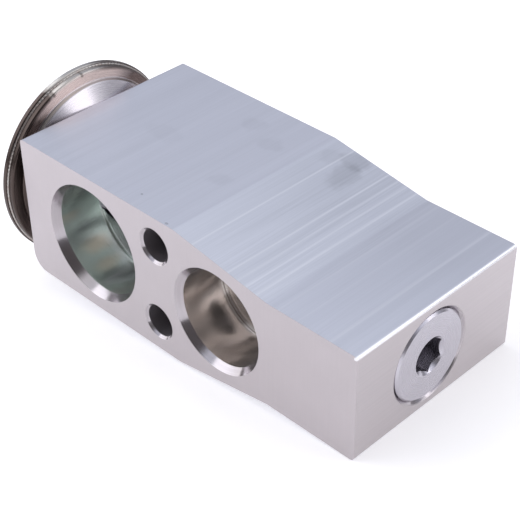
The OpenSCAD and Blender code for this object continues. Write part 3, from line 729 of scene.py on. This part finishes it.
def diaphragm_points(outer_r, flat_r, clamp_r, clamp_x, middle_x, thickness, waves, height, sides=128):
    """A thin waved disc: a closed profile turned round the valve axis, with a pinhole for its pole.

    From radius flat_r to clamp_r the place goes from middle_x to clamp_x along a smooth step
    t * t * (3 - 2 * t), less height * sin(pi * waves * t) ** 2, and it is flat on either side.
    """
    pinhole_r, flat_start = 0.02, 0.5
    flat, waved = np.linspace(flat_start, flat_r, 8), np.linspace(flat_r, clamp_r, 73)[1:]
    r = np.concatenate([[pinhole_r], flat, waved, [outer_r]])
    t = np.clip((r - flat_r) / (clamp_r - flat_r), 0, 1)
    low = middle_x + (clamp_x - middle_x) * t * t * (3 - 2 * t) - height * np.sin(np.pi * waves * t) ** 2
    r = np.concatenate([r, r[::-1]])[:, None]
    x = np.concatenate([low, (low - thickness)[::-1]])[:, None]
    a = np.linspace(0, 2 * np.pi, sides, endpoint=False)[None, :]
    return np.stack(np.broadcast_arrays(x, AXIS_Y + r * np.cos(a), r * np.sin(a)), -1)


# Settings that a user would change

COLOUR = {"subtype": "COLOR", "min": 0, "max": 1}
SHARE = {"subtype": "FACTOR", "min": 0, "max": 1}
GLOSS = {"subtype": "FACTOR", "min": 0.02, "max": 1}


class BlockLook(bpy.types.PropertyGroup):
    """Sizes and colours of the body's finish."""

    thick_length: FloatProperty(
        name="Thick length", description="Length of the thick part, in mm", default=34.2, min=1.0
    )
    taper_end: FloatProperty(
        name="Taper end", description="End of the taper, from the head end, in mm", default=52.0, min=1.0
    )
    thin_half: FloatProperty(
        name="Thin half", description="Half thickness at the plug, in mm", default=8.925, min=1.0
    )
    foot_radius: FloatProperty(
        name="Foot radius", description="Radius of the lower corner at the head, in mm", default=2.8, min=0.2
    )
    corner_radius: FloatProperty(
        name="Corner radius", description="Radius of the corners at the plug, in mm", default=0.6, min=0.2
    )
    skin_colour: FloatVectorProperty(
        name="Skin", description="Colour of the drawn skin", default=(0.63, 0.64, 0.705), **COLOUR
    )
    line_colour: FloatVectorProperty(
        name="Lines", description="Colour of the bright drawn lines", default=(0.84, 0.84, 0.88), **COLOUR
    )
    milled_colour: FloatVectorProperty(
        name="Milled", description="Colour of the port faces", default=(0.525, 0.485, 0.505), **COLOUR
    )
    end_colour: FloatVectorProperty(
        name="Ends", description="Colour of the end faces", default=(0.545, 0.505, 0.52), **COLOUR
    )
    bore_colour: FloatVectorProperty(
        name="Bores", description="Colour of the lead-in cones and small bores",
        default=(0.49, 0.455, 0.48), **COLOUR,
    )
    suction_colour: FloatVectorProperty(
        name="Suction", description="Colour of the suction passage", default=(0.80, 0.86, 0.82), **COLOUR
    )
    outlet_colour: FloatVectorProperty(
        name="Outlet", description="Colour of the outlet gland", default=(0.82, 0.77, 0.74), **COLOUR
    )
    # Colour of the painted reflection patches in the suction passage
    patch_reflection_colour: FloatVectorProperty(
        name="Straw", description="Colour of the straw patches in the suction passage",
        default=(1.0, 0.88, 0.76), **COLOUR,
    )
    # Colour of the painted highlight on the upper corner at the plug
    corner_highlight_colour: FloatVectorProperty(
        name="Corner", description="Colour of the bright line on the upper corner at the plug",
        default=(0.86, 0.86, 0.89), **COLOUR,
    )
    # Colour of the painted reflection on the skin by the head
    head_reflection_colour: FloatVectorProperty(
        name="Bloom", description="Colour of the pale bloom by the head", default=(0.97, 0.86, 0.88), **COLOUR
    )
    suction_ledge: FloatProperty(
        name="Suction ledge", description="Depth of the ledge in the suction gland, in mm", default=9.1, min=1
    )
    outlet_ledge: FloatProperty(
        name="Outlet ledge", description="Depth of the ledge in the outlet gland, in mm", default=8.7, min=1
    )
    ledge_shade: FloatProperty(
        name="Ledge shade", description="Brightness left on the ledges and past the outlet's",
        default=0.6, **SHARE,
    )
    passage_shade: FloatProperty(
        name="Passage shade", description="Brightness left past the suction gland's ledge",
        default=0.5, **SHARE,
    )
    # Strength of the painted highlight on the edges before the ledges
    edge_highlight: FloatProperty(
        name="Edge gain", description="Brightness of the edges before the ledges", default=1.35, min=1
    )
    skin_roughness: FloatProperty(
        name="Skin roughness", description="Roughness of the drawn skin", default=0.34, **GLOSS
    )
    milled_roughness: FloatProperty(
        name="Milled roughness", description="Roughness of the milled faces", default=0.36, **GLOSS
    )
    lip_roughness: FloatProperty(
        name="Lip roughness", description="Roughness of the lead-in cones", default=0.16, **GLOSS
    )
    bore_roughness: FloatProperty(
        name="Bore roughness", description="Roughness of the turned bores", default=0.16, **GLOSS
    )
    suction_roughness: FloatProperty(
        name="Suction roughness", description="Roughness of the suction passage", default=0.23, **GLOSS
    )
    outlet_roughness: FloatProperty(
        name="Outlet roughness", description="Roughness of the outlet gland", default=0.17, **GLOSS
    )
    bore_metal: FloatProperty(
        name="Bore metal", description="Bare metal in the bores, the rest a dry film", default=0.9, **SHARE
    )
    # Metal of the painted reflection patches in the suction passage
    patch_reflection_metal: FloatProperty(
        name="Straw metal", description="Bare metal left under the straw patches", default=0.85, **SHARE
    )
    bolt_metal: FloatProperty(
        name="Bolt hole metal", description="Bare metal in the bolt holes", default=0.8, **SHARE
    )


class HeadLook(bpy.types.PropertyGroup):
    """Sizes and colours of the power head."""

    boss_colour: FloatVectorProperty(
        name="Boss", description="Colour of the turned cone", default=(0.66, 0.63, 0.67), **COLOUR
    )
    flange_colour: FloatVectorProperty(
        name="Flange", description="Colour of the flange", default=(0.58, 0.47, 0.43), **COLOUR
    )
    wall_colour: FloatVectorProperty(
        name="Wall", description="Colour of the step round the cone", default=(0.50, 0.44, 0.42), **COLOUR
    )
    # Colour of the painted shade by the ports, the darker patches at the back and the tack marks
    shade_and_tack_colour: FloatVectorProperty(
        name="Burnt", description="Colour of the heat film", default=(0.085, 0.066, 0.06), **COLOUR
    )
    rim_colour: FloatVectorProperty(
        name="Rim", description="Colour of the rim and its weld", default=(0.46, 0.44, 0.42), **COLOUR
    )
    head_roughness: FloatProperty(
        name="Roughness", description="Roughness of the head", default=0.27, **GLOSS
    )
    weld_size: FloatProperty(
        name="Weld size", description="Radius of the weld bead, in mm", default=0.22, min=0.05, max=0.5
    )
    weld_ripples: IntProperty(
        name="Weld ripples", description="Ripples round the weld", default=150, min=12, max=400
    )


class InnerLook(bpy.types.PropertyGroup):
    """Sizes and colours of the plug, the spring and the diaphragm."""

    plug_colour: FloatVectorProperty(
        name="Plug", description="Colour of the plug", default=(0.545, 0.525, 0.575), **COLOUR
    )
    plug_roughness: FloatProperty(
        name="Plug roughness", description="Roughness of the plug", default=0.26, **GLOSS
    )
    socket_shade: FloatProperty(
        name="Socket shade", description="Brightness left in the hex socket", default=0.7, **SHARE
    )
    spring_wire: FloatProperty(
        name="Spring wire", description="Diameter of the wire, in mm", default=0.9, min=0.3
    )
    spring_turns: FloatProperty(name="Spring turns", description="Turns of the spring", default=4.5, min=2)
    waves: IntProperty(name="Waves", description="Waves of the diaphragm", default=3, min=1)
    wave_height: FloatProperty(
        name="Wave height", description="Height of the diaphragm's waves, in mm", default=0.22, min=0.02
    )
    clamp_radius: FloatProperty(
        name="Clamp radius", description="Radius from which the rim clamps the diaphragm, in mm",
        default=14.28, min=1,
    )
    diaphragm_sheet: FloatProperty(
        name="Diaphragm sheet", description="Thickness of the diaphragm, in mm", default=0.15, min=0.05
    )


class StudioLook(bpy.types.PropertyGroup):
    """Floor, light and camera."""

    floor_colour: FloatVectorProperty(
        name="Floor", description="Colour of the floor", default=(0.86, 0.85, 0.86), **COLOUR
    )
    floor_width: FloatProperty(
        name="Floor width", description="Width of the floor", unit="LENGTH", default=4.0, min=0.5
    )
    floor_glow: FloatProperty(
        name="Floor glow", description="Strength of the floor's own light", default=0.5, min=0
    )
    lens: FloatProperty(name="Lens", description="Focal length, in mm", default=93.85, min=10)
    roll: FloatProperty(
        name="Roll", description="Turn of the camera about its view", subtype="ANGLE",
        default=math.radians(-0.62),
    )
    eye: FloatVectorProperty(
        name="Eye", description="Place of the camera", unit="LENGTH", default=(0.11958, -0.09842, 0.1189)
    )
    aim: FloatVectorProperty(
        name="Aim", description="Point that the camera looks at", unit="LENGTH",
        default=(0.02113, 0.0, 0.01541),
    )


class ValveLooks(bpy.types.PropertyGroup):
    """All settings of the looks."""

    block: PointerProperty(type=BlockLook)
    head: PointerProperty(type=HeadLook)
    inner: PointerProperty(type=InnerLook)
    studio: PointerProperty(type=StudioLook)


# Operators, one for each piece or group of like pieces


class VALVE_OT_block(bpy.types.Operator):
    """Gives the body its drawn, milled and turned aluminium"""

    bl_idname = "valve.block"
    bl_label = "Body"

    def execute(self, context):
        paint(block_aluminium(context.scene.valve_looks.block), "valve_body")
        return {"FINISHED"}


class VALVE_OT_head(bpy.types.Operator):
    """Gives the power head its steel and adds the weld round its rim"""

    bl_idname = "valve.head"
    bl_label = "Power head"

    def execute(self, context):
        look = context.scene.valve_looks.head
        paint(head_steel(look), "head_base", "head_cover", "charge_plug")
        path_x = box_mm("head_cover")[1][0]
        ripple = weld_points(outer_radius("head_base"), path_x, look.weld_size, look.weld_ripples)
        bead = add_surface("rim_weld", ripple, wrap_rows=True)
        paint(weld_steel(look), bead)
        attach(bead, "block")
        return {"FINISHED"}


class VALVE_OT_spring(bpy.types.Operator):
    """Makes the spring's round wire, in a half for each end"""

    bl_idname = "valve.spring"
    bl_label = "Spring"

    def execute(self, context):
        look = context.scene.valve_looks.inner
        low, high = box_mm("valve_spring")
        wire, turns, length = look.spring_wire, look.spring_turns, high[0] - low[0]
        middle_r = outer_radius("valve_spring") - wire / 2
        finish = wire_steel()
        halves = (
            ("spring_front", 0, turns / 2, "stem", low[0] + wire),
            ("spring_back", turns / 2, turns, "plug_ring", high[0] - wire),
        )
        for name, first, last, body, seat in halves:
            points = spring_points(wire, middle_r, turns, low[0], length, first, last)
            coil = add_surface(name, points, caps=True)
            paint(finish, coil)
            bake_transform(coil)
            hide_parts("valve_spring")
        return {"FINISHED"}


class VALVE_OT_diaphragm(bpy.types.Operator):
    """Makes the waved diaphragm, clamped at its rim and carried by the stop in its middle"""

    bl_idname = "valve.diaphragm"
    bl_label = "Diaphragm"

    def execute(self, context):
        look = context.scene.valve_looks.inner
        clamp_x = box_mm("head_base")[0][0] - REST_GAP
        middle_x = box_mm("diaphragm_stop")[0][0] - REST_GAP
        flat_r = outer_radius("diaphragm_stop") + FLAT_PAST_STOP
        points = diaphragm_points(
            outer_radius("diaphragm"), flat_r, look.clamp_radius, clamp_x, middle_x,
            look.diaphragm_sheet, look.waves, look.wave_height,
        )
        sheet = add_surface("waved_diaphragm", points, wrap_rows=True)
        paint(turned_metal("diaphragm_steel", (0.62, 0.62, 0.64), 0.22), sheet)
        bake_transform(sheet)
        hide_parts("diaphragm")
        return {"FINISHED"}


class VALVE_OT_inner(bpy.types.Operator):
    """Gives the stem, seals and plug their finishes"""

    bl_idname = "valve.inner"
    bl_label = "Inner pieces and plug"

    def execute(self, context):
        paint(plug_aluminium(context.scene.valve_looks.inner), "adjusting_plug")
        turned = (
            ("rod_aluminium", (0.76, 0.76, 0.78), 0.24, 0.06, ("diaphragm_stop", "sensing_rod")),
            ("turned_brass", (0.72, 0.56, 0.27), 0.26, 0.06, ("ball_carrier",)),
            ("thin_steel", (0.62, 0.62, 0.64), 0.25, 0.06, ("diaphragm", "push_rod")),
            ("ball_steel", (0.80, 0.80, 0.82), 0.08, 0.01, ("valve_ball",)),
        )
        for name, colour, roughness, spread, nodes in turned:
            paint(turned_metal(name, colour, roughness, spread), *nodes)
        paint(wire_steel(), "valve_spring", "carrier_damper", "rod_seal_retainer")
        paint(seal_rubber(), "head_seal_ring", "rod_seal_ring", "plug_seal_ring")
        return {"FINISHED"}


# The steepest that the valve may lie, and how many times the tilt's range is halved
STEEPEST_TILT, TILT_HALVINGS = math.radians(20), 40

# The soft lights: name, place in metres, width, height, power and colour. All face LIGHT_AIM.
LIGHT_AIM = (0, 0.015, 0)
SOFTBOXES = (
    ("side_light", (-0.41, -0.141, 0.25), 0.55, 0.56, 1.35, (1.0, 1.0, 1.0)),
    ("window", (0.42, 0.41, 0.38), 0.28, 0.28, 0.36, (1.0, 0.99, 0.98)),
    ("low_window", (0.53, 0.235, 0.166), 0.2, 0.13, 0.21, (1.0, 0.97, 0.98)),
)

# The surround's colours by height, from the horizon to straight up
SURROUND = (
    (0.0, (0.22, 0.20, 0.20)),
    (0.25, (0.35, 0.36, 0.4)),
    (0.5, (0.74, 0.76, 0.86)),
    (0.75, (0.85, 0.9, 1.0)),
    (1.0, (1.0, 1.0, 1.0)),
)
# The dim part of the surround, where the photographer stands: its direction, the angles from it in
# degrees over which it begins, and its colour
DIM_SIDE, DIM_ANGLES, DIM_COLOUR = (0.57, -0.57, 0.6), (44, 24), (0.10, 0.09, 0.09, 1)

# The camera's sensor width in mm, and the nearest that it sees in metres
SENSOR_WIDTH, CLIP_START = 36.0, 0.01


def resting_tilt():
    """The floor's tilt and height: the line that the rim and the plug end's lower edge both stand on.

    The tilt t is right when the lowest place along the floor's normal (-sin t, 0, cos t) is the
    same on the head's cover and on the body; it is found by halving.
    """
    spots = []
    for node in ("head_cover", "valve_body"):
        mesh = NODES[node].data
        flat = np.empty(len(mesh.vertices) * 3)
        mesh.vertices.foreach_get("co", flat)
        spots.append(flat.reshape(-1, 3)[:, [0, 2]])
    low, high = 0.0, STEEPEST_TILT
    for _ in range(TILT_HALVINGS):
        tilt = (low + high) / 2
        normal = np.array([-math.sin(tilt), math.cos(tilt)])
        cover, body = ((places @ normal).min() for places in spots)
        low, high = (tilt, high) if cover < body else (low, tilt)
    return tilt, cover


def pale_floor(look):
    """Pale matt floor with the faintest cloud in it."""
    f = Finish(
        "pale_floor", metallic=0.0, roughness=0.8, Specular_IOR_Level=0.2, Emission_Strength=look.floor_glow
    )
    cloud = f.spread(f.grain("XYZ", 90.0, 90.0), 0.995, 1.0)
    colour = f.shade(tuple(look.floor_colour), cloud)
    return f.wear(Base_Color=colour, Emission_Color=colour)


def add_softbox(name, place, width, height, power, colour):
    """A soft rectangular light at a place, turned to the object and unseen itself."""
    light = bpy.data.lights.new(name, "AREA")
    light.shape = "RECTANGLE"
    light.size, light.size_y = width, height
    light.energy = power
    light.color = colour
    lamp = bpy.data.objects.new(name, light)
    lamp.location = place
    lamp.rotation_euler = (Vector(LIGHT_AIM) - Vector(place)).to_track_quat("-Z", "Y").to_euler()
    lamp.visible_camera = False
    bpy.context.scene.collection.objects.link(lamp)


def studio_air():
    """The soft surround: pale overhead, dim near the horizon and where the photographer stands.

    As a backdrop, which only the camera sees, it is plain white.
    """
    world = bpy.data.worlds.new("studio_air")
    world.use_nodes = True
    bpy.context.scene.world = world
    nodes, link = world.node_tree.nodes, world.node_tree.links.new
    direction = nodes.new("ShaderNodeTexCoord").outputs["Generated"]
    split = nodes.new("ShaderNodeSeparateXYZ")
    link(direction, split.inputs[0])
    by_height = nodes.new("ShaderNodeValToRGB")
    link(split.outputs[2], by_height.inputs[0])
    stops = by_height.color_ramp.elements
    stops[0].position, stops[1].position = SURROUND[0][0], SURROUND[-1][0]
    for place, _ in SURROUND[1:-1]:
        stops.new(place)
    for stop, (_, colour) in zip(stops, SURROUND, strict=True):
        stop.color = (*colour, 1)

    turned_to = nodes.new("ShaderNodeVectorMath")
    turned_to.operation = "DOT_PRODUCT"
    link(direction, turned_to.inputs[0])
    turned_to.inputs[1].default_value = Vector(DIM_SIDE).normalized()
    dim = nodes.new("ShaderNodeMapRange")
    dim.interpolation_type = "SMOOTHSTEP"
    link(turned_to.outputs["Value"], dim.inputs["Value"])
    for end, angle in zip(("From Min", "From Max"), DIM_ANGLES, strict=True):
        dim.inputs[end].default_value = math.cos(math.radians(angle))

    to_camera = nodes.new("ShaderNodeLightPath").outputs["Is Camera Ray"]
    colour = by_height.outputs[0]
    for share, other in ((dim.outputs[0], DIM_COLOUR), (to_camera, (1, 1, 1, 1))):
        mix = nodes.new("ShaderNodeMix")
        mix.data_type = "RGBA"
        link(share, mix.inputs["Factor"])
        link(colour, mix.inputs[6])
        mix.inputs[7].default_value = other
        colour = mix.outputs[2]
    link(colour, nodes["Background"].inputs["Color"])


def add_floor(look):
    """A wide flat floor at the tilt on which the valve rests."""
    tilt, height = resting_tilt()
    normal = np.array([-math.sin(tilt), 0.0, math.cos(tilt)])
    sides = np.array([[math.cos(tilt), 0.0, math.sin(tilt)], [0.0, 1.0, 0.0]])
    signs = np.array([(-1, -1), (1, -1), (1, 1), (-1, 1)])
    corners = signs @ sides * look.floor_width / 2 + normal * height
    mesh = bpy.data.meshes.new("floor")
    mesh.from_pydata(corners.tolist(), [], [(0, 1, 2, 3)])
    floor = bpy.data.objects.new("floor", mesh)
    bpy.context.scene.collection.objects.link(floor)
    paint(pale_floor(look), floor)
    return floor


def add_camera(look):
    """The camera at the photograph's place, turned to its aim and rolled about its view."""
    view = bpy.data.cameras.new("camera")
    view.lens = look.lens
    view.sensor_width = SENSOR_WIDTH
    view.clip_start = CLIP_START
    camera = bpy.data.objects.new("camera", view)
    towards = (Vector(look.aim) - Vector(look.eye)).to_track_quat("-Z", "Y")
    camera.rotation_mode = "QUATERNION"
    camera.rotation_quaternion = towards @ Quaternion((0, 0, 1), look.roll)
    camera.location = look.eye
    bpy.context.scene.collection.objects.link(camera)
    return camera


class VALVE_OT_studio(bpy.types.Operator):
    """Makes the pale floor, the soft lights and the camera"""

    bl_idname = "valve.studio"
    bl_label = "Studio"

    def execute(self, context):
        look = context.scene.valve_looks.studio
        add_floor(look)
        studio_air()
        for softbox in SOFTBOXES:
            add_softbox(*softbox)
        context.scene.camera = add_camera(look)
        context.scene.view_settings.view_transform = "Standard"
        return {"FINISHED"}


class VALVE_PT_looks(bpy.types.Panel):
    """Lists the steps of the looks"""

    bl_idname = "VALVE_PT_looks"
    bl_label = "Expansion valve"
    bl_space_type = "VIEW_3D"
    bl_region_type = "UI"
    bl_category = "Expansion valve"

    def draw(self, context):
        for step in STEPS:
            self.layout.operator(step.bl_idname)


STEPS = (
    VALVE_OT_studio, VALVE_OT_block, VALVE_OT_head, VALVE_OT_inner, VALVE_OT_spring, VALVE_OT_diaphragm
)
CLASSES = (BlockLook, HeadLook, InnerLook, StudioLook, ValveLooks, *STEPS, VALVE_PT_looks)


def register():
    for cls in CLASSES:
        bpy.utils.register_class(cls)
    bpy.types.Scene.valve_looks = PointerProperty(type=ValveLooks)


def unregister():
    del bpy.types.Scene.valve_looks
    for cls in reversed(CLASSES):
        bpy.utils.unregister_class(cls)


def main():
    """Makes the whole scene."""
    register()
    bpy.ops.valve.studio()
    bpy.ops.valve.block()
    bpy.ops.valve.head()
    bpy.ops.valve.inner()
    bpy.ops.valve.spring()
    bpy.ops.valve.diaphragm()


if __name__ == "__main__":
    main()
